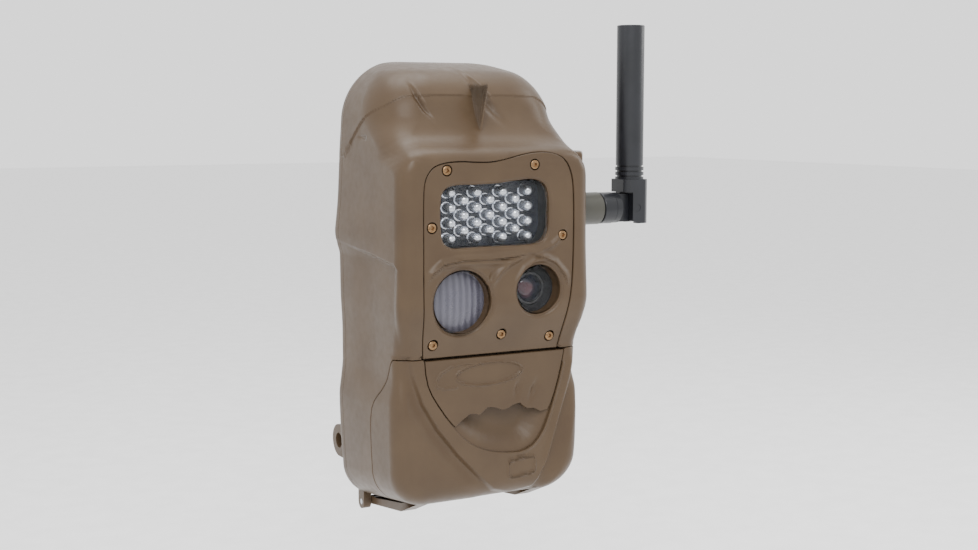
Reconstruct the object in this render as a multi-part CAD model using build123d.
"""Tree-mounted trail camera: flash window, motion sensor and camera behind one face plate,
a battery door that swings down on a bottom hinge, and a folding antenna on its right side.

Millimetres.  Everything is drawn in a bench frame: X to the right seen from the front, Y from the
front face (Y = 0) to the back, Z up from the lower front edge of the door (Z = 0).  The last
section moves it so that the origin is the mouth of the tripod insert on the back.
"""
import os
from functools import lru_cache

from build123d import *

# ------------------------------------------------------------------ driving dimensions
HALF_WIDTH = 52.5        # flanks
BACK_Y = 80.0            # back plane of the body
CROWN_Z = 217.0          # top
REAR_FOOT_Z = -9.5       # lowest line of the body, at the back
SEAM_Z = 73.0            # top edge of the battery door
SNOUT_Z = 173.5          # top of the flat face
CHIN_Z = 97.0            # below this the face slopes back
DOOR_FACE_Y = 8.0        # front of the door
WALL = 2.8               # moulded shell thickness
SPLIT_Y = 71.0           # housing to rear cover joint
GAP = 0.3                # clearance between separate mouldings
RUNNING = 0.05           # radial clearance of a pin that turns

FACE_PLATE = 3.0         # face plate thickness
FACE_FLOOR = 3.0         # wall behind the face plate
WINDOW_POCKET = 1.5      # depth of the pocket that clamps the flash window
SEAT_Y = 8.2             # front of the sensor lens and camera window rims

HINGE_Y, HINGE_Z = 75.5, -12.5      # battery door hinge axis, along X
HINGE_X = 33.0                      # centre of each door arm
HINGE_PIN_R = 1.5
KNUCKLE_R = 3.6
ARM_WIDTH = 8.0

PADDLE_Y, PADDLE_Z = 13.4, 67.0     # latch paddle pivot axis, along X
PADDLE_PIN_R = 1.0
PADDLE_T = 3.0
POCKET = 7.6                        # depth of the finger bowl and paddle pocket
HOOK_Y = 22.0                       # front face of the latch hook's barb

LED_BOARD_Y = 14.6
LED_R = 2.5
LED_LENGTH = 8.6
LED_COLUMNS = 7
LED_PITCH_X = 7.1
LED_PITCH_Z = 7.5
LED_FIRST_X, LED_TOP_Z = -22.2, 153.0

PIR_X, PIR_Z, PIR_R = -19.0, 100.0, 15.5     # motion sensor opening
EYE_X, EYE_Z, EYE_R = 23.3, 104.0, 12.3      # camera opening
SEATS = ((PIR_X, PIR_Z, PIR_R), (EYE_X, EYE_Z, EYE_R))
MAIN_BOARD_Y = 50.0
BOARD_T = 1.6
BRACKET_Y = 54.0

CELL_R, CELL_LENGTH = 7.25, 50.5    # AA cells
CELL_PITCH = 15.2
CELL_ROWS_Y = (50.4, 65.4)
CELL_FOOT_Z = 4.5
CELL_PAIRS = ((0, 1), (2, 3))       # neighbours joined by one contact strip
CONTACT_Z = CELL_FOOT_Z + CELL_LENGTH + 0.3
TRAY_X = (-44.5, 18.0)
TRAY_Y = (42.6, 74.2)
TRAY_Z = (1.6, 60.0)
FRAME_Y = (39.5, 42.0)              # front frame of the chassis
SHELF_Z = (62.0, 64.5)

PANEL_X = (20.2, 45.0)              # control panel beside the battery tray
BUTTON_X = 36.5
BUTTON_ZS = {"button_up": 30.0, "button_more": 22.0, "button_down": 14.0}
SWITCH_Z = 6.5
CARD_X, CARD_Z = 24.5, 22.0
SHEET = 0.5                         # sheet metal of the card cage
CARD = (2.1, 32.0, 24.0)            # thickness, length, width of a full-size memory card

AERIAL_Y, AERIAL_Z = 34.0, 141.0    # antenna swivel axis, along X
PIVOT_X = 98.0                      # antenna fold axis, along Y
AERIAL_R = 8.3
ROD_R = 7.3
ROD_TIP_Z = 237.0
POD_X = (52.8, 68.5)
POD_Y = (14.5, 53.0)
POD_Z = (131.5, 171.5)
POD_SLANT = 0.64                    # how fast the pod's front narrows towards the flank
POD_WALL = 2.2
POD_SEAT = 3.4                      # depth of the screw seats
COLLAR_R = 8.5
FORK_HALF = 7.6                     # half width of the rod's fork

BRIDGE_HALF = 22.0                  # half length of the strap bridges
BRIDGE_Y = (87.5, 92.0)
BRIDGES_Z = ((58.0, 86.0), (134.0, 162.0))
INSERT_Z = 110.0                    # tripod insert
INSERT_MOUTH_Y = BRIDGE_Y[1]
INSERT_R, INSERT_LENGTH, THREAD_R = 4.5, 10.0, 2.55
LUG_X, LUG_Y, LUG_Z = 45.0, 87.0, 19.0
LUG_R, LUG_BORE_R, LUG_WIDTH = 8.5, 4.0, 8.0

FACE_SCREWS = ((-28.0, 164.0), (20.0, 166.0), (-36.0, 137.0), (36.0, 131.0),
               (-33.0, 80.0), (4.0, 83.0), (32.0, 80.0))
COVER_SCREWS = ((-38.5, 188.0), (38.5, 188.0), (-43.0, 118.0), (43.0, 118.0),
                (-43.0, 70.5), (43.0, 70.5))
BOARD_SCREWS = ((-34.0, 82.0), (34.0, 82.0), (-34.0, 176.0), (34.0, 176.0))
FAR = 400.0                         # longer than anything here


# ------------------------------------------------------------------ small helpers
def block(x, y, z):
    """Box between pairs of limits."""
    size = (x[1] - x[0], y[1] - y[0], z[1] - z[0])
    return Pos((x[0] + x[1]) / 2, (y[0] + y[1]) / 2, (z[0] + z[1]) / 2) * Box(*size)


def rod_x(y, z, radius, x):
    """Cylinder along X between two limits."""
    return Pos((x[0] + x[1]) / 2, y, z) * Rot(0, 90, 0) * Cylinder(radius, x[1] - x[0])


def rod_y(x, z, radius, y):
    """Cylinder along Y between two limits."""
    return Pos(x, (y[0] + y[1]) / 2, z) * Rot(-90, 0, 0) * Cylinder(radius, y[1] - y[0])


def rod_z(x, y, radius, z):
    """Cylinder along Z between two limits."""
    return Pos(x, y, (z[0] + z[1]) / 2) * Cylinder(radius, z[1] - z[0])


def cone_y(x, z, front_radius, back_radius, y):
    """Cone along Y, with its radius at each end."""
    return Pos(x, (y[0] + y[1]) / 2, z) * Rot(-90, 0, 0) * Cone(front_radius, back_radius, y[1] - y[0])


def outline(points, radii):
    """Closed flat outline with each corner rounded by its radius; 0 keeps a corner sharp."""
    face = make_face(Polyline(*points, close=True))
    for point, radius in zip(points, radii):
        if radius:
            corner = face.vertices().sort_by_distance(Vector(*point, 0))[0]
            face = fillet(corner, radius)
    return face


def grown(face, amount):
    """The outline moved outwards, or inwards when negative."""
    return offset(face, amount) if amount else face


def along_y(face, y):
    """Extrude an outline drawn in X and Z between two depths."""
    start = Pos(0, y[0], 0) * (Plane.XZ * face)
    return extrude(start, amount=y[1] - y[0], dir=(0, 1, 0))


def along_x(face, x):
    """Extrude an outline drawn in Y and Z between two X limits."""
    start = Pos(x[0], 0, 0) * (Plane.YZ * face)
    return extrude(start, amount=x[1] - x[0], dir=(1, 0, 0))


def face_y(z):
    """Depth of the front surface at a height: flat face, sloping chin, then the door."""
    if z >= CHIN_Z:
        return 0.0
    slope = (CHIN_Z - z) / (CHIN_Z - SEAM_Z)
    return DOOR_FACE_Y * min(slope, 1.0)


def pan_screws(places, head_r, head_t, shank_r, length):
    """Pan-head screws driven towards +Y; each place is (x, head top depth, z)."""
    screws = []
    for x, y, z in places:
        head = rod_y(x, z, head_r, (y, y + head_t))
        head = fillet(head.edges().sort_by(Axis.Y)[0], head_t * 0.45)
        shank = rod_y(x, z, shank_r, (y + head_t, y + head_t + length))
        drive = along_y(Pos(x, z) * RegularPolygon(head_r * 0.45, 6), (y - 1, y + head_t * 0.6))
        screws.append(head + shank - drive)
    return Compound(children=screws)


# ------------------------------------------------------------------ body form
FRONT = outline(
    [(-49.5, REAR_FOOT_Z), (-53.0, 45.0), (-50.3, 66.0), (-51.2, 119.0), (-53.4, 131.0),
     (-45.5, CROWN_Z), (45.5, CROWN_Z), (53.4, 131.0), (51.2, 119.0), (50.3, 66.0),
     (53.0, 45.0), (49.5, REAR_FOOT_Z)],
    [27, 30, 30, 6, 12, 32, 32, 12, 6, 30, 30, 27])
SIDE = outline(
    [(DOOR_FACE_Y, 0), (DOOR_FACE_Y, SEAM_Z), (0, CHIN_Z), (0, SNOUT_Z), (16, 176),
     (28, 200), (37, CROWN_Z), (BACK_Y, CROWN_Z), (BACK_Y, REAR_FOOT_Z - 0.5)],
    [6, 12, 14, 5, 10, 20, 11, 6, 5])
PLAN = outline(
    [(-HALF_WIDTH, 0), (-HALF_WIDTH, BACK_Y), (HALF_WIDTH, BACK_Y), (HALF_WIDTH, 0)],
    [9, 6, 6, 9])


@lru_cache(maxsize=None)
def body_form(inset):
    """The whole body shape, moved inwards by an inset: front, side and plan outlines together."""
    front = along_y(grown(FRONT, -inset), (-20, BACK_Y + 20))
    side = along_x(grown(SIDE, -inset), (-HALF_WIDTH - 10, HALF_WIDTH + 10))
    plan = extrude(Pos(0, 0, -40) * grown(PLAN, -inset), amount=FAR)
    return front & side & plan


def form_layer(outer_inset, inner_inset):
    """Shell between two insets of the body form."""
    return body_form(outer_inset) - body_form(inner_inset)


def slab_y(y):
    """Everything between two depths."""
    return block((-FAR, FAR), y, (-FAR, FAR))


DOOR_SIDE = outline(
    [(-10, -30), (-10, SEAM_Z), (15, SEAM_Z), (24, 58), (33, 50), (37, 40), (37, -30)],
    [0, 0, 3, 8, 8, 8, 0])


def door_zone(shift):
    """The front lower corner that the door takes up, made larger or smaller by a shift."""
    return along_x(grown(DOOR_SIDE, shift), (-FAR, FAR))


FACE = outline(
    [(-37.6, SEAM_Z - 1), (-40.5, CHIN_Z), (-40.5, 168), (-5, 168), (25, 173), (42.4, 171.5),
     (42.4, 123), (40.2, 96), (37.6, SEAM_Z - 1)],
    [0, 20, 9, 40, 40, 9, 20, 20, 0])
FLASH = Pos(-1.5, 141.8) * RectangleRounded(58.4, 29.6, 6)
PADDLE = outline(
    [(-36, SEAM_Z + 1), (-34.7, 60), (-20, 38.4), (-12, 44), (-6.6, 43), (-2, 46.3), (6.4, 44.2),
     (16, 47), (20.2, 43.9), (32, 42), (34.2, 44), (38.3, 56.5), (41.8, SEAM_Z + 1)],
    [0, 12, 1, 1, 1, 1, 1, 1, 1, 1, 1, 20, 0])
# The paddle's top edge slopes so that it clears the housing when the paddle is pulled.
PADDLE_TOP = outline(
    [(-10, -10), (40, -10), (40, SEAM_Z - 0.53), (11.2, SEAM_Z - 0.53), (6, SEAM_Z - 1.57),
     (-10, SEAM_Z - 1.57)],
    [0, 0, 0, 0, 0, 0])
BOWL = outline(
    [(-36, SEAM_Z + 1), (-34.7, 60), (-20, 36.5), (-4, 24), (20, 21.5), (31, 30), (34.2, 44),
     (38.3, 56.5), (41.8, SEAM_Z + 1)],
    [0, 12, 12, 20, 12, 8, 12, 20, 0])


# ------------------------------------------------------------------ housing and rear cover
def screw_post(x, z, y):
    """Post beside a flank, with a rib that ties it to the wall."""
    outwards = 9 if x > 0 else -9
    rib = block(sorted((x, x + outwards)), y, (z - 2, z + 2))
    return rod_y(x, z, 4, y) + rib


def make_housing():
    """Front moulding: shell, recess for the face plate, window pockets and posts."""
    shell = form_layer(0, WALL) & slab_y((-10, SPLIT_Y))
    recess_depth = FACE_PLATE + 0.2
    floor_back = recess_depth + FACE_FLOOR
    floor = form_layer(recess_depth, floor_back) & along_y(grown(FACE, 3), (-10, 25))
    recess = along_y(FACE, (-10, 25)) - body_form(recess_depth)
    posts = Part()
    for x, z in COVER_SCREWS:
        posts += screw_post(x, z, (58, SPLIT_Y))
    posts = posts & body_form(1)
    bosses = Part()
    for x, z in FACE_SCREWS:
        bosses += rod_y(x, z, 3.2, (floor_back - 1, face_y(z) + floor_back + 5))
    for x in (-31.0, 28.0):
        for z in (128.5, 155.5):
            bosses += rod_y(x, z, 1.8, (floor_back - 1, LED_BOARD_Y))
    for x, z, radius in SEATS:
        bosses += rod_y(x, z, radius + 3.4, (recess_depth, SEAT_Y + 2.3))
    housing = shell + floor + posts + (bosses & body_form(recess_depth)) - recess - door_zone(GAP / 2)
    pocket = (recess_depth - 1, recess_depth + WINDOW_POCKET)
    housing -= along_y(grown(FLASH, 2.2), pocket) + along_y(grown(FLASH, -0.8), (-5, 12))
    for x, z, radius in SEATS:
        housing -= rod_y(x, z, radius - 0.8, (-5, 12)) + rod_y(x, z, radius + 2.1, (SEAT_Y, 20))
    for x, z in FACE_SCREWS:
        housing -= rod_y(x, z, 1.25, (-5, face_y(z) + floor_back + 4))
    for x, z in COVER_SCREWS:
        housing -= rod_y(x, z, 1.3, (60, SPLIT_Y + 1))
    housing -= form_layer(0.9, 1.9) & slab_y((SPLIT_Y - 0.8, SPLIT_Y + 1))
    housing -= rod_x(AERIAL_Y, AERIAL_Z + 14, 3, (45, 60))
    return housing


def make_housing_seal():
    """Rubber ring in the groove between housing and rear cover."""
    ring = form_layer(0.95, 1.85) & slab_y((SPLIT_Y - 0.75, SPLIT_Y))
    return ring


def strap_bridge(z):
    """Bar that a strap passes behind, on two ribs."""
    bar = block((-BRIDGE_HALF, BRIDGE_HALF), BRIDGE_Y, (z[0] - 4, z[1] + 4))
    bar = fillet(bar.edges().filter_by(Axis.Y), 3)
    ribs = Part()
    for low in (z[0] - 4, z[1]):
        ribs += block((-BRIDGE_HALF + 1, BRIDGE_HALF - 1), (BACK_Y - 1, BRIDGE_Y[0] + 1), (low, low + 4))
    return bar + ribs


def rear_lug(x):
    """Rounded ear on a lower back corner, bored for a cable or cord."""
    limits = (x - LUG_WIDTH / 2, x + LUG_WIDTH / 2)
    ear = rod_x(LUG_Y, LUG_Z, LUG_R, limits)
    web = block(limits, (BACK_Y - 2, LUG_Y), (LUG_Z - LUG_R, LUG_Z + LUG_R))
    return ear + web - rod_x(LUG_Y, LUG_Z, LUG_BORE_R, (x - 10, x + 10))


def hinge_ears(side):
    """Pair of knuckles under the back edge, one on each side of a door arm."""
    ears = Part()
    inner = ARM_WIDTH / 2 + GAP
    for start in (-inner - 4.2, inner):
        x = sorted((side * (HINGE_X + start), side * (HINGE_X + start + 4.2)))
        ears += rod_x(HINGE_Y, HINGE_Z, KNUCKLE_R, x)
        ears += block(x, (HINGE_Y - KNUCKLE_R, HINGE_Y + KNUCKLE_R), (HINGE_Z, -3.5))
    return ears - rod_x(HINGE_Y, HINGE_Z, HINGE_PIN_R, (-FAR, FAR))


def make_rear_cover():
    """Back moulding with strap bridges, tripod boss, cable lugs and door hinge ears."""
    cover = form_layer(0, WALL) & slab_y((SPLIT_Y, BACK_Y + 1))
    for z in BRIDGES_Z:
        cover += strap_bridge(z)
    boss = rod_y(0, INSERT_Z, 9, (BACK_Y - WALL, INSERT_MOUTH_Y))
    cover += boss
    for side in (-1, 1):
        cover += rear_lug(side * LUG_X) + hinge_ears(side)
    posts = Part()
    for x, z in COVER_SCREWS:
        posts += screw_post(x, z, (SPLIT_Y, BACK_Y - 1))
    cover += posts & body_form(1)
    for x, z in COVER_SCREWS:
        cover -= rod_y(x, z, 1.7, (SPLIT_Y - 1, BACK_Y + 1)) + rod_y(x, z, 3.3, (BACK_Y - 3, BACK_Y + 1))
    cover -= rod_y(0, INSERT_Z, INSERT_R, (INSERT_MOUTH_Y - INSERT_LENGTH, INSERT_MOUTH_Y + 1))
    for side in (-1, 1):
        room = (side * HINGE_X - ARM_WIDTH / 2 - GAP, side * HINGE_X + ARM_WIDTH / 2 + GAP)
        cover -= rod_x(HINGE_Y, HINGE_Z, KNUCKLE_R + GAP + 0.1, room)
    return cover


def make_cover_screws():
    """Screws driven from the back into the housing posts."""
    screws = []
    for x, z in COVER_SCREWS:
        head = rod_y(x, z, 2.9, (BACK_Y - 3, BACK_Y - 1))
        shank = rod_y(x, z, 1.3, (62, BACK_Y - 3))
        drive = along_y(Pos(x, z) * RegularPolygon(1.4, 6), (BACK_Y - 2, BACK_Y))
        screws.append(head + shank - drive)
    return Compound(children=screws)


def make_tripod_insert():
    """Brass insert with a 1/4-20 bore, blind at its inner end."""
    insert = rod_y(0, INSERT_Z, INSERT_R, (INSERT_MOUTH_Y - INSERT_LENGTH, INSERT_MOUTH_Y))
    return insert - rod_y(0, INSERT_Z, THREAD_R, (INSERT_MOUTH_Y - INSERT_LENGTH + 1, INSERT_MOUTH_Y + 1))


# ------------------------------------------------------------------ face plate and optics
def make_face_plate():
    """Front trim that clamps the flash window, the sensor lens and the camera window."""
    plate = form_layer(0, FACE_PLATE) & along_y(grown(FACE, -GAP), (-10, 25))
    plate &= block((-FAR, FAR), (-10, 25), (SEAM_Z + GAP, FAR))
    plate -= along_y(FLASH, (-5, 8))
    plate -= rod_y(PIR_X, PIR_Z, PIR_R, (-5, 8)) + cone_y(PIR_X, PIR_Z, PIR_R + 1.5, PIR_R, (-0.1, 1.4))
    plate -= rod_y(EYE_X, EYE_Z, EYE_R, (-5, 8)) + cone_y(EYE_X, EYE_Z, EYE_R + 1.5, EYE_R, (-0.1, 1.4))
    for x, z in FACE_SCREWS:
        top = face_y(z)
        plate -= rod_y(x, z, 1.4, (-5, 20)) + rod_y(x, z, 2.75, (-5, top + 1.9))
    return plate


def make_face_plate_screws():
    """Seven pan-head screws of the face plate."""
    places = [(x, face_y(z) + 0.3, z) for x, z in FACE_SCREWS]
    return pan_screws(places, 2.35, 1.6, 1.2, 8.0)


def make_flash_window():
    """Clear window with a raised centre that fills the face plate's opening."""
    back = FACE_PLATE + 0.2 + WINDOW_POCKET
    flange = along_y(grown(FLASH, 1.9), (FACE_PLATE + 0.05, back))
    centre = along_y(grown(FLASH, -0.25), (1.4, FACE_PLATE + 0.2))
    return flange + centre


def led_places():
    """Staggered columns of four and three lamps."""
    places = []
    for column in range(LED_COLUMNS):
        x = LED_FIRST_X + column * LED_PITCH_X
        short = column % 2
        top = LED_TOP_Z - short * LED_PITCH_Z / 2
        places += [(x, top - row * LED_PITCH_Z) for row in range(4 - short)]
    return places


def make_flash_leds():
    """Round infrared lamps with domed fronts and flanged feet."""
    lamps = []
    dome_y = LED_BOARD_Y - LED_LENGTH + LED_R
    for x, z in led_places():
        lamp = rod_y(x, z, LED_R, (dome_y, LED_BOARD_Y)) + Pos(x, dome_y, z) * Sphere(LED_R)
        lamp += rod_y(x, z, LED_R + 0.4, (LED_BOARD_Y - 1, LED_BOARD_Y))
        lamps.append(lamp)
    return Compound(children=lamps)


def make_led_board():
    """Circuit board that carries the lamps."""
    return block((-33, 30), (LED_BOARD_Y, LED_BOARD_Y + BOARD_T), (126.5, 157.5))


def make_sensor_lens():
    """Moulded motion sensor lens, slightly domed and clamped by its rim."""
    back = SEAT_Y + 1.45
    rim = rod_y(PIR_X, PIR_Z, PIR_R + 1.9, (SEAT_Y + 0.05, back))
    dome_r = 60.0
    bulge = Pos(PIR_X, SEAT_Y - 1.8 + dome_r, PIR_Z) * Sphere(dome_r)
    cap = bulge & rod_y(PIR_X, PIR_Z, PIR_R - 1.1, (0, back))
    hollow = rod_y(PIR_X, PIR_Z, PIR_R - 2.5, (back - 0.5, back + 1))
    return cap + rim - hollow


def make_motion_sensor():
    """Metal-can infrared sensor with a flange."""
    can = rod_y(PIR_X, PIR_Z, 4.1, (15.5, 20)) + rod_y(PIR_X, PIR_Z, 4.6, (19.2, 20))
    return can - block((PIR_X - 1.6, PIR_X + 1.6), (15, 16), (PIR_Z - 2, PIR_Z + 2))


def make_sensor_board():
    """Board behind the motion sensor."""
    return block((-33, -5), (20, 20 + BOARD_T), (86, 114))


def make_camera_window():
    """Clear disc in front of the camera."""
    disc = rod_y(EYE_X, EYE_Z, EYE_R + 1.9, (SEAT_Y + 0.05, SEAT_Y + 1.25))
    return fillet(disc.edges().sort_by(Axis.Y)[0], 0.3)


def make_lens_hood():
    """Dark cone that keeps stray light out of the camera."""
    tube = cone_y(EYE_X, EYE_Z, EYE_R + 1.4, 8.9, (SEAT_Y + 1.3, 15))
    return tube - cone_y(EYE_X, EYE_Z, EYE_R - 0.6, 8.3, (SEAT_Y + 1.2, 15.1))


def make_lens_barrel():
    """Threaded lens tube."""
    barrel = rod_y(EYE_X, EYE_Z, 8.0, (11, 17)) + rod_y(EYE_X, EYE_Z, 6.0, (17, 25))
    barrel -= rod_y(EYE_X, EYE_Z, 7.0, (9, 14.2)) + rod_y(EYE_X, EYE_Z, 4.6, (12, 26))
    return barrel


def make_front_lens():
    """Front glass element, domed outwards."""
    dome = Pos(EYE_X, 10.9 + 11, EYE_Z) * Sphere(11)
    return dome & rod_y(EYE_X, EYE_Z, 7.0, (10, 14.2))


def make_lens_holder():
    """Square holder that the lens tube screws into."""
    holder = block((EYE_X - 9, EYE_X + 9), (19, 30), (EYE_Z - 9, EYE_Z + 9))
    holder = fillet(holder.edges().filter_by(Axis.Y), 2)
    holder -= rod_y(EYE_X, EYE_Z, 6.05, (18, 25.2))
    return holder - block((EYE_X - 6.5, EYE_X + 6.5), (25.2, 31), (EYE_Z - 6.5, EYE_Z + 6.5))


def make_infrared_filter():
    """Thin filter glass between lens and sensor."""
    return block((EYE_X - 6, EYE_X + 6), (26.2, 27), (EYE_Z - 6, EYE_Z + 6))


def make_image_sensor():
    """Image sensor chip."""
    return block((EYE_X - 4.5, EYE_X + 4.5), (28.6, 30), (EYE_Z - 4, EYE_Z + 4))


def make_camera_board():
    """Board behind the camera."""
    return block((EYE_X - 13.5, EYE_X + 13.5), (30, 30 + BOARD_T), (EYE_Z - 14, EYE_Z + 14))


# ------------------------------------------------------------------ chassis and electronics
def make_chassis():
    """Stepped bulkhead: frame round the battery bay, shelf, sill and bracket for the main board."""
    frame = block((-50, 50), FRAME_Y, (-8, SHELF_Z[1] + 1.5))
    frame -= block((TRAY_X[0] - 0.4, TRAY_X[1] + 0.4), (30, 50), (TRAY_Z[0] - 0.4, TRAY_Z[1] + 0.4))
    frame -= block((PANEL_X[0] - 0.2, PANEL_X[1] + 0.2), (30, 50), (0.6, 60.4))
    shelf = block((-50, 50), (FRAME_Y[0], 69), SHELF_Z)
    riser = block((-50, 50), (FRAME_Y[0], FRAME_Y[0] + 2), (SHELF_Z[0], SEAM_Z + 3.4))
    sill = block((-50, 50), (19, FRAME_Y[1] - 0.5), (SEAM_Z + 1, SEAM_Z + 3.4))
    bracket = block((-38, 38), (BRACKET_Y, BRACKET_Y + 2), (SHELF_Z[0], 180))
    bracket -= block((-25, 25), (50, 60), (95, 165))
    chassis = (frame + shelf + riser + sill + bracket) & body_form(WALL + 0.4)
    for x, z in BOARD_SCREWS:
        chassis += rod_y(x, z, 3, (MAIN_BOARD_Y + BOARD_T, BRACKET_Y + 1))
        chassis -= rod_y(x, z, 1.1, (MAIN_BOARD_Y, BRACKET_Y + 3))
    return chassis


def make_bay_seal():
    """Rubber frame on the bay's front, pressed by the door."""
    outer = block((-46.5, 46.5), (FRAME_Y[0] - 1.5, FRAME_Y[0]), (-3, SHELF_Z[1]))
    inner = block((-45.2, 45.6), (30, 50), (0.4, 61.0))
    return (outer & body_form(WALL + 0.6)) - (inner & body_form(WALL + 2.0))


def make_main_board():
    """Main circuit board."""
    board = block((-38, 38), (MAIN_BOARD_Y, MAIN_BOARD_Y + BOARD_T), (74, 180))
    for x, z in BOARD_SCREWS:
        board -= rod_y(x, z, 1.4, (40, 60))
    return board


def make_board_chips():
    """Processor, memory, radio modem can, inductors and capacitors on the main board."""
    parts = [((-14, 8), 3.0, (118, 142)), ((14, 30), 1.2, (122, 134)), ((-30, -18), 1.0, (120, 128)),
             ((-28, 4), 2.4, (150, 174)), ((12, 24), 4.5, (90, 102)), ((-30, -22), 6.0, (92, 100))]
    chips = [block(x, (MAIN_BOARD_Y - height, MAIN_BOARD_Y), z) for x, height, z in parts]
    cans = [rod_y(x, 108, 3.1, (MAIN_BOARD_Y - 8, MAIN_BOARD_Y)) for x in (-32.0, -24.0)]
    return Compound(children=chips + cans)


def make_board_screws():
    """Four screws that hold the main board to the chassis."""
    places = [(x, MAIN_BOARD_Y - 1.6, z) for x, z in BOARD_SCREWS]
    return pan_screws(places, 2.3, 1.6, 1.1, 4.4)


# ------------------------------------------------------------------ battery bay
def cell_places(y):
    """Centres of one row of four cells."""
    first = (TRAY_X[0] + TRAY_X[1]) / 2 - 1.5 * CELL_PITCH
    return [(first + i * CELL_PITCH, y) for i in range(4)]


def make_battery_tray():
    """Tray open at the front, with a rib between the rows and a finger tab."""
    tray = block(TRAY_X, TRAY_Y, TRAY_Z) & body_form(WALL + 0.9)
    foot, head = CELL_FOOT_Z - 1.2, CELL_FOOT_Z + CELL_LENGTH + 1.6
    for y in CELL_ROWS_Y:
        places = cell_places(y)
        for x, _ in places:
            tray -= rod_z(x, y, CELL_R + 0.2, (foot, head))
        for left, right in CELL_PAIRS:
            slot_x = (places[left][0], places[right][0])
            tray -= block(slot_x, (y - 1.5, y + 1.5), (CONTACT_Z - 0.1, head))
    tray -= block((TRAY_X[0] + 3, TRAY_X[1] - 3), (TRAY_Y[0] - 1, CELL_ROWS_Y[0] - 1), (9, 51))
    tray -= block((TRAY_X[0] + 3, TRAY_X[1] - 3), (CELL_ROWS_Y[1] + 1, TRAY_Y[1] + 1), (9, 51))
    return tray


def make_cells(y, flip):
    """One row of round cells with their plus caps, alternate ones upside down."""
    cells = []
    for index, (x, _) in enumerate(cell_places(y)):
        can = rod_z(x, y, CELL_R, (CELL_FOOT_Z + 0.4, CELL_FOOT_Z + CELL_LENGTH - 1.2))
        up = (index + flip) % 2 == 0
        top = CELL_FOOT_Z + CELL_LENGTH
        cap = (top - 1.2, top) if up else (CELL_FOOT_Z, CELL_FOOT_Z + 0.4)
        cells.append(can + rod_z(x, y, 2.7, cap))
    return Compound(children=cells)


def make_cell_contacts():
    """Plated contact strips, each joining two cells at the tray's top."""
    strips = []
    for y in CELL_ROWS_Y:
        places = cell_places(y)
        for left, right in CELL_PAIRS:
            x = (places[left][0] - 3.6, places[right][0] + 3.6)
            strip = block(x, (y - 3.6, y + 3.6), (CONTACT_Z, CONTACT_Z + 0.5))
            strips.append(strip & strip_room(y, left, right))
    return Compound(children=strips)


def strip_room(y, left, right):
    """Space over two neighbouring cells, inside their tray bores and the slot between them."""
    places = cell_places(y)
    room = block((places[left][0], places[right][0]), (y - 1.2, y + 1.2), (0, 80))
    for index in (left, right):
        room += rod_z(places[index][0], y, CELL_R, (0, 80))
    return room


def make_cell_springs():
    """Flat conical contact pads under every cell."""
    springs = []
    for y in CELL_ROWS_Y:
        for x, _ in cell_places(y):
            springs.append(Pos(x, y, CELL_FOOT_Z - 0.65) * Cone(5.0, 3.0, 1.1))
    return Compound(children=springs)


# ------------------------------------------------------------------ control panel
def make_control_panel():
    """Panel beside the tray with openings for the display, buttons, switch and card."""
    panel = block(PANEL_X, (FRAME_Y[0] + 0.4, FRAME_Y[1] + 0.4), (0.9, 60)) & body_form(WALL + 0.9)
    panel -= block((22.5, 42.5), (30, 50), (40, 56))
    for z in BUTTON_ZS.values():
        panel -= rod_y(BUTTON_X, z, 2.6 + GAP, (30, 50))
    panel -= block((BUTTON_X - 5, BUTTON_X + 5), (30, 50), (SWITCH_Z - 1.6, SWITCH_Z + 1.6))
    gap_x, gap_z = CARD[0] / 2 + 0.35, CARD[2] / 2 + 0.4
    panel -= block((CARD_X - gap_x, CARD_X + gap_x), (30, 50), (CARD_Z - gap_z, CARD_Z + gap_z))
    return panel


def make_control_board():
    """Board behind the control panel."""
    board = block((28, 44), (47, 47 + BOARD_T), (4, 38)) + block((21, 44), (47, 47 + BOARD_T), (38, 58))
    return board


def make_display():
    """Small liquid crystal display with its glass flush in the panel."""
    glass = block((22.8, 42.2), (FRAME_Y[0] + 0.6, 43), (40.3, 55.7))
    return glass + block((21.8, 43.2), (43, 46.6), (39, 57))


def make_button(z):
    """Round button with a flange behind the panel."""
    cap = rod_y(BUTTON_X, z, 2.6, (FRAME_Y[0] - 0.9, 43.6))
    cap = fillet(cap.edges().sort_by(Axis.Y)[0], 0.5)
    return cap + rod_y(BUTTON_X, z, 3.5, (42.7, 43.6))


def make_power_switch():
    """Slide switch knob with two grip ridges, at its left stop."""
    x = BUTTON_X - 2.0
    knob = block((x - 2.4, x + 2.4), (39.2, 43.4), (SWITCH_Z - 1.25, SWITCH_Z + 1.25))
    ridge = block((x - 0.4, x + 0.4), (38.7, 39.5), (SWITCH_Z - 1.25, SWITCH_Z + 1.25))
    return knob + Pos(-1.2, 0, 0) * ridge + Pos(1.2, 0, 0) * ridge


def make_card_slot():
    """Sheet metal card cage, open at the front."""
    half_x, half_z = CARD[0] / 2 + 0.9, CARD[2] / 2 + 1.0
    inner_x, inner_z = half_x - SHEET, half_z - SHEET
    cage = block((CARD_X - half_x, CARD_X + half_x), (43, 73.5), (CARD_Z - half_z, CARD_Z + half_z))
    room = block((CARD_X - inner_x, CARD_X + inner_x), (42, 73), (CARD_Z - inner_z, CARD_Z + inner_z))
    return cage - room


def make_memory_card():
    """Full-size memory card with its cut corner, in its locked place."""
    card = block((CARD_X - CARD[0] / 2, CARD_X + CARD[0] / 2), (38.6, 38.6 + CARD[1]),
                 (CARD_Z - CARD[2] / 2, CARD_Z + CARD[2] / 2))
    top_back = (CARD_X, 38.6 + CARD[1], CARD_Z + CARD[2] / 2)
    corner = card.edges().filter_by(Axis.X).sort_by_distance(top_back)[0]
    return chamfer(corner, 3)


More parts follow.
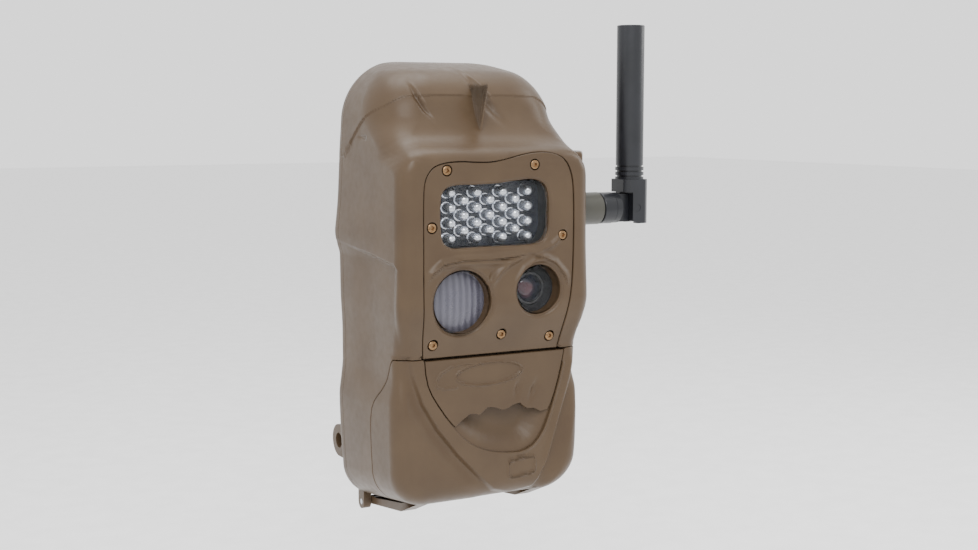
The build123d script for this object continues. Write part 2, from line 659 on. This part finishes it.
# ------------------------------------------------------------------ battery door and latch
def door_arm(side):
    """Curved arm from the door's underside back to its hinge eye."""
    profile = outline(
        [(16, -1.0), (36.5, -4.3), (66, -9.0), (HINGE_Y, HINGE_Z + KNUCKLE_R),
         (HINGE_Y, HINGE_Z - KNUCKLE_R), (66, -14.0), (36, -9.0), (16, -4.0)],
        [0, 0, 0, 0, 0, 10, 10, 0])
    limits = (side * HINGE_X - ARM_WIDTH / 2, side * HINGE_X + ARM_WIDTH / 2)
    arm = along_x(profile, limits) + rod_x(HINGE_Y, HINGE_Z, KNUCKLE_R, limits)
    arm -= body_form(-0.35) - door_zone(-GAP)
    root = block(limits, (12, 34), (-6, 4)) & form_layer(-0.6, WALL) & door_zone(-GAP)
    return arm + root - rod_x(HINGE_Y, HINGE_Z, HINGE_PIN_R + RUNNING, (-FAR, FAR))


def make_door():
    """Battery door: cup-shaped moulding with a pocket for the latch paddle and finger bowl."""
    zone = door_zone(-GAP / 2)
    shell = form_layer(0, WALL) & zone
    floor_y = DOOR_FACE_Y + POCKET
    pocket = along_y(BOWL, (-10, floor_y))
    backing = along_y(grown(BOWL, 2.0), (DOOR_FACE_Y + 0.5, floor_y + 2.0)) & body_form(0.5) & zone
    door = shell + backing - pocket
    for x in (-14.0, 14.0):
        ear = block((x - 2, x + 2), (PADDLE_Y - 0.2, floor_y + 0.5), (PADDLE_Z - 1.5, PADDLE_Z + 1.5))
        ear += rod_x(PADDLE_Y, PADDLE_Z, 1.5, (x - 2, x + 2))
        door += ear - rod_x(PADDLE_Y, PADDLE_Z, PADDLE_PIN_R, (-FAR, FAR))
    door -= block((-6, 6), (floor_y - 3, floor_y + 4), (PADDLE_Z - 5.5, SEAM_Z + 2))
    for side in (-1, 1):
        door += door_arm(side)
    return door


def make_latch_paddle():
    """Paddle pulled out by its ragged lower edge; its hook holds the door shut."""
    plate = form_layer(0.1, 0.1 + PADDLE_T) & along_y(grown(PADDLE, -GAP), (0, 14))
    plate &= along_x(PADDLE_TOP, (-FAR, FAR))
    lugs = Part()
    for x in (-9.5, 9.5):
        lugs += block((x - 2, x + 2), (DOOR_FACE_Y + 2, PADDLE_Y), (PADDLE_Z - 1.8, PADDLE_Z + 1.8))
        lugs += rod_x(PADDLE_Y, PADDLE_Z, 1.75, (x - 2, x + 2))
    arm = block((-4.5, 4.5), (DOOR_FACE_Y + 2, HOOK_Y + 2.2), (PADDLE_Z - 1.5, PADDLE_Z + 0.7))
    barb = block((-4.5, 4.5), (HOOK_Y, HOOK_Y + 2.2), (PADDLE_Z, PADDLE_Z + 4.3))
    bridge = block((-11.5, 11.5), (DOOR_FACE_Y + 2, DOOR_FACE_Y + 3.2), (PADDLE_Z - 1.8, PADDLE_Z + 1.8))
    paddle = plate + lugs + arm + barb + bridge
    return paddle - rod_x(PADDLE_Y, PADDLE_Z, PADDLE_PIN_R + RUNNING, (-FAR, FAR))


def make_paddle_pin():
    """Steel pin that the latch paddle turns on."""
    return rod_x(PADDLE_Y, PADDLE_Z, PADDLE_PIN_R, (-16, 20.6))


def make_paddle_spring():
    """Torsion spring round the pin's right end: close-wound coils and one leg to the floor."""
    x = (16.3, 20.3)
    coil = rod_x(PADDLE_Y, PADDLE_Z, 1.75, x)
    leg = rod_y(x[1] - 0.35, PADDLE_Z - 1.4, 0.35, (PADDLE_Y, DOOR_FACE_Y + POCKET))
    for index in range(5):
        groove_x = x[0] + 0.6 + index * 0.7
        ring = rod_x(PADDLE_Y, PADDLE_Z, 2.5, (groove_x, groove_x + 0.12))
        coil -= ring - rod_x(PADDLE_Y, PADDLE_Z, 1.55, (groove_x, groove_x + 0.12))
    return coil + leg - rod_x(PADDLE_Y, PADDLE_Z, 1.15, (10, 30))


def make_strike_clip():
    """Spring steel catch under the sill that the paddle's hook snaps behind."""
    foot = block((-5, 5), (HOOK_Y - 1.4, HOOK_Y + 9), (SEAM_Z + 0.2, SEAM_Z + 1.0))
    leg = block((-5, 5), (HOOK_Y - 1.4, HOOK_Y - 0.6), (PADDLE_Z + 2.6, SEAM_Z + 1.0))
    return foot + leg


def make_hinge_pins():
    """Pins of the two door hinges."""
    pins = []
    for side in (-1, 1):
        middle = side * HINGE_X
        pins.append(rod_x(HINGE_Y, HINGE_Z, HINGE_PIN_R, (middle - 8.4, middle + 8.4)))
    return Compound(children=pins)


# ------------------------------------------------------------------ radio pod and antenna
POD_PLAN = outline(
    [(POD_X[0], POD_Y[0]), (POD_X[1] - POD_SLANT * (AERIAL_Y - POD_Y[0]), POD_Y[0]), (POD_X[1], AERIAL_Y),
     (POD_X[1], POD_Y[1]), (POD_X[0], POD_Y[1])],
    [0, 1.5, 4, 5, 0])


def pod_form(inset):
    """The pod's outside moved inwards by an inset; its front is cut back at a slant."""
    height = POD_Z[1] - POD_Z[0] - 2 * inset
    return extrude(Pos(0, 0, POD_Z[0] + inset) * grown(POD_PLAN, -inset), amount=height)


def pod_face_x(y):
    """Where the pod's outside is at a depth."""
    return min(POD_X[1], POD_X[1] - POD_SLANT * (AERIAL_Y - y))


def pod_screw_places():
    """Centre of each screw's head seat, as (x, y, z)."""
    places = []
    for y in (POD_Y[0] + 6.5, POD_Y[1] - 6.5):
        for z in (POD_Z[0] + 6.5, POD_Z[1] - 6.5):
            places.append((pod_face_x(y) - POD_SEAT, y, z))
    return places


def make_radio_pod():
    """Side pod that holds the radio board and the antenna socket."""
    pod = pod_form(0)
    pod = fillet(pod.edges().filter_by(Axis.Z, reverse=True).filter_by(lambda e: e.center().X > 60), 1.6)
    room = pod_form(POD_WALL)
    room += block((POD_X[0] - 1, POD_X[0] + 4), (POD_Y[0] + POD_WALL, POD_Y[1] - POD_WALL),
                  (POD_Z[0] + POD_WALL, POD_Z[1] - POD_WALL))
    solid = pod_form(0)
    pod -= room
    for x, y, z in pod_screw_places():
        pod += rod_x(y, z, 3.2, (POD_X[0], POD_X[1])) & solid
    for x, y, z in pod_screw_places():
        pod -= rod_x(y, z, 1.2, (50, POD_X[1])) + rod_x(y, z, 2.5, (x, POD_X[1] + 1))
    return pod - rod_x(AERIAL_Y, AERIAL_Z, COLLAR_R + RUNNING, (POD_X[0] + 6, POD_X[1] + 1))


def make_pod_screws():
    """Screws that hold the pod to the flank."""
    screws = []
    for x, y, z in pod_screw_places():
        head = rod_x(y, z, 2.3, (x, x + 1.5))
        drive = rod_x(y, z, 1.0, (x + 0.8, x + 2))
        screws.append(head + rod_x(y, z, 1.15, (POD_X[0] + 0.4, x)) - drive)
    return Compound(children=screws)


def make_radio_board():
    """Radio circuit board inside the pod."""
    board = block((55, 56.2), (26, 42), (153, 166))
    return board + block((56.2, 59), (28, 40), (155, 164))


def make_antenna_socket():
    """Brass antenna socket, clamped in the pod's outer wall."""
    socket = rod_x(AERIAL_Y, AERIAL_Z, 5.1, (64.5, 68.4)) + rod_x(AERIAL_Y, AERIAL_Z, 3.1, (59, 84))
    socket += rod_x(AERIAL_Y, AERIAL_Z, 5.9, (63.4, 65.9))
    return socket - rod_x(AERIAL_Y, AERIAL_Z, 0.7, (75, 85))


def make_coax_lead():
    """Thin lead from the socket up to the radio board."""
    start = Plane(origin=(59, AERIAL_Y, AERIAL_Z), z_dir=(-1, 0, 0))
    turn = revolve(start * Circle(0.9), Axis((59, AERIAL_Y, AERIAL_Z + 3.4), (0, 1, 0)), 90)
    return turn + rod_z(59 - 3.4, AERIAL_Y, 0.9, (AERIAL_Z + 3.4, 153))


def make_antenna_collar():
    """Sealing collar round the socket, between pod and antenna."""
    collar = rod_x(AERIAL_Y, AERIAL_Z, COLLAR_R, (POD_X[1] - 7, 77.8))
    collar = chamfer(collar.edges().sort_by(Axis.X)[-1], 0.6)
    collar -= rod_x(AERIAL_Y, AERIAL_Z, 6.0, (POD_X[0], POD_X[1]))
    return collar - rod_x(AERIAL_Y, AERIAL_Z, 3.2, (60, 90))


def make_antenna_nut():
    """Coupling nut that screws on the socket."""
    nut = rod_x(AERIAL_Y, AERIAL_Z, AERIAL_R, (78.1, 85.4))
    nut = fillet(nut.edges().sort_by(Axis.X)[0], 0.8)
    nut -= rod_x(AERIAL_Y, AERIAL_Z, 3.4, (70, 84.3))
    return nut


def make_antenna_base():
    """Turning base with the tongue that the rod folds on."""
    base = rod_x(AERIAL_Y, AERIAL_Z, AERIAL_R - 0.2, (85.7, 89.0))
    tongue_y = (AERIAL_Y - 3.9, AERIAL_Y + 3.9)
    tongue = block((88, PIVOT_X), tongue_y, (AERIAL_Z - 7.4, AERIAL_Z + 7.4))
    tongue += rod_y(PIVOT_X, AERIAL_Z, 7.4, tongue_y)
    return base + tongue - rod_y(PIVOT_X, AERIAL_Z, 2.0 + RUNNING, (0, 80))


def make_antenna_pin():
    """Fold pin, fixed in the rod's cheeks."""
    return rod_y(PIVOT_X, AERIAL_Z, 2.0, (AERIAL_Y - AERIAL_R + 0.2, AERIAL_Y + AERIAL_R - 0.2))


def make_antenna_rod():
    """Rod sleeve with its fork, grip rings and hollow."""
    cheeks_z = (AERIAL_Z, AERIAL_Z + 15)
    cheeks_y = (AERIAL_Y - AERIAL_R, AERIAL_Y + AERIAL_R)
    heel = block((PIVOT_X, PIVOT_X + FORK_HALF), cheeks_y, (AERIAL_Z - AERIAL_R, AERIAL_Z))
    fork = rod_y(PIVOT_X, AERIAL_Z, FORK_HALF, cheeks_y) + heel
    fork += block((PIVOT_X - FORK_HALF, PIVOT_X + FORK_HALF), cheeks_y, cheeks_z)
    fork -= block((80, 110), (AERIAL_Y - 4.2, AERIAL_Y + 4.2), (120, AERIAL_Z + 8.2))
    fork -= block((80, PIVOT_X - 3), (20, 50), (120, AERIAL_Z + 8.2))
    fork = fork & (rod_z(PIVOT_X, AERIAL_Y, AERIAL_R + 1.2, (100, 200)))
    rod = fork + rod_z(PIVOT_X, AERIAL_Y, FORK_HALF, (cheeks_z[1], cheeks_z[1] + 7))
    rod += rod_z(PIVOT_X, AERIAL_Y, ROD_R, (cheeks_z[1], ROD_TIP_Z - 4))
    for z in (cheeks_z[1] + 1.2, cheeks_z[1] + 3.8, cheeks_z[1] + 6.4):
        groove = (z, z + 0.9)
        rod -= rod_z(PIVOT_X, AERIAL_Y, 12, groove) - rod_z(PIVOT_X, AERIAL_Y, ROD_R - 0.6, groove)
    rod -= rod_z(PIVOT_X, AERIAL_Y, 4.4, (cheeks_z[1] + 2, ROD_TIP_Z))
    return rod - rod_y(PIVOT_X, AERIAL_Z, 2.0, (0, 80))


def make_antenna_cap():
    """Plug that closes the rod's top."""
    cap = rod_z(PIVOT_X, AERIAL_Y, ROD_R, (ROD_TIP_Z - 4, ROD_TIP_Z))
    cap = fillet(cap.edges().sort_by(Axis.Z)[-1], 0.5)
    return cap + rod_z(PIVOT_X, AERIAL_Y, 4.3, (ROD_TIP_Z - 10, ROD_TIP_Z - 3))


def make_antenna_element():
    """Copper radiator inside the rod."""
    return rod_z(PIVOT_X, AERIAL_Y, 1.5, (AERIAL_Z + 17, ROD_TIP_Z - 10.5))


# ------------------------------------------------------------------ all pieces
PIECES = {
    "housing": make_housing, "rear_cover": make_rear_cover, "housing_seal": make_housing_seal,
    "cover_screws": make_cover_screws, "tripod_insert": make_tripod_insert,
    "face_plate": make_face_plate, "face_plate_screws": make_face_plate_screws,
    "flash_window": make_flash_window, "flash_leds": make_flash_leds, "led_board": make_led_board,
    "sensor_lens": make_sensor_lens, "motion_sensor": make_motion_sensor,
    "sensor_board": make_sensor_board, "camera_window": make_camera_window,
    "lens_hood": make_lens_hood, "lens_barrel": make_lens_barrel, "front_lens": make_front_lens,
    "lens_holder": make_lens_holder, "infrared_filter": make_infrared_filter,
    "image_sensor": make_image_sensor, "camera_board": make_camera_board,
    "chassis": make_chassis, "bay_seal": make_bay_seal, "main_board": make_main_board,
    "board_chips": make_board_chips, "board_screws": make_board_screws,
    "battery_tray": make_battery_tray,
    "front_cells": lambda: make_cells(CELL_ROWS_Y[0], 0),
    "rear_cells": lambda: make_cells(CELL_ROWS_Y[1], 1),
    "cell_contacts": make_cell_contacts, "cell_springs": make_cell_springs,
    "control_panel": make_control_panel, "control_board": make_control_board,
    "display": make_display, "power_switch": make_power_switch,
    "card_slot": make_card_slot, "memory_card": make_memory_card,
    "door": make_door, "latch_paddle": make_latch_paddle, "paddle_pin": make_paddle_pin,
    "paddle_spring": make_paddle_spring, "strike_clip": make_strike_clip,
    "hinge_pins": make_hinge_pins, "radio_pod": make_radio_pod, "pod_screws": make_pod_screws,
    "radio_board": make_radio_board, "antenna_socket": make_antenna_socket,
    "coax_lead": make_coax_lead, "antenna_collar": make_antenna_collar,
    "antenna_nut": make_antenna_nut, "antenna_base": make_antenna_base,
    "antenna_pin": make_antenna_pin, "antenna_rod": make_antenna_rod,
    "antenna_cap": make_antenna_cap, "antenna_element": make_antenna_element,
}
for button, height in BUTTON_ZS.items():
    PIECES[button] = lambda height=height: make_button(height)

TO_ROW_FRAME = Pos(0, -INSERT_MOUTH_Y, -INSERT_Z)

os.makedirs("parts", exist_ok=True)
for name, make in PIECES.items():
    export_step(TO_ROW_FRAME * make(), f"parts/{name}.step")
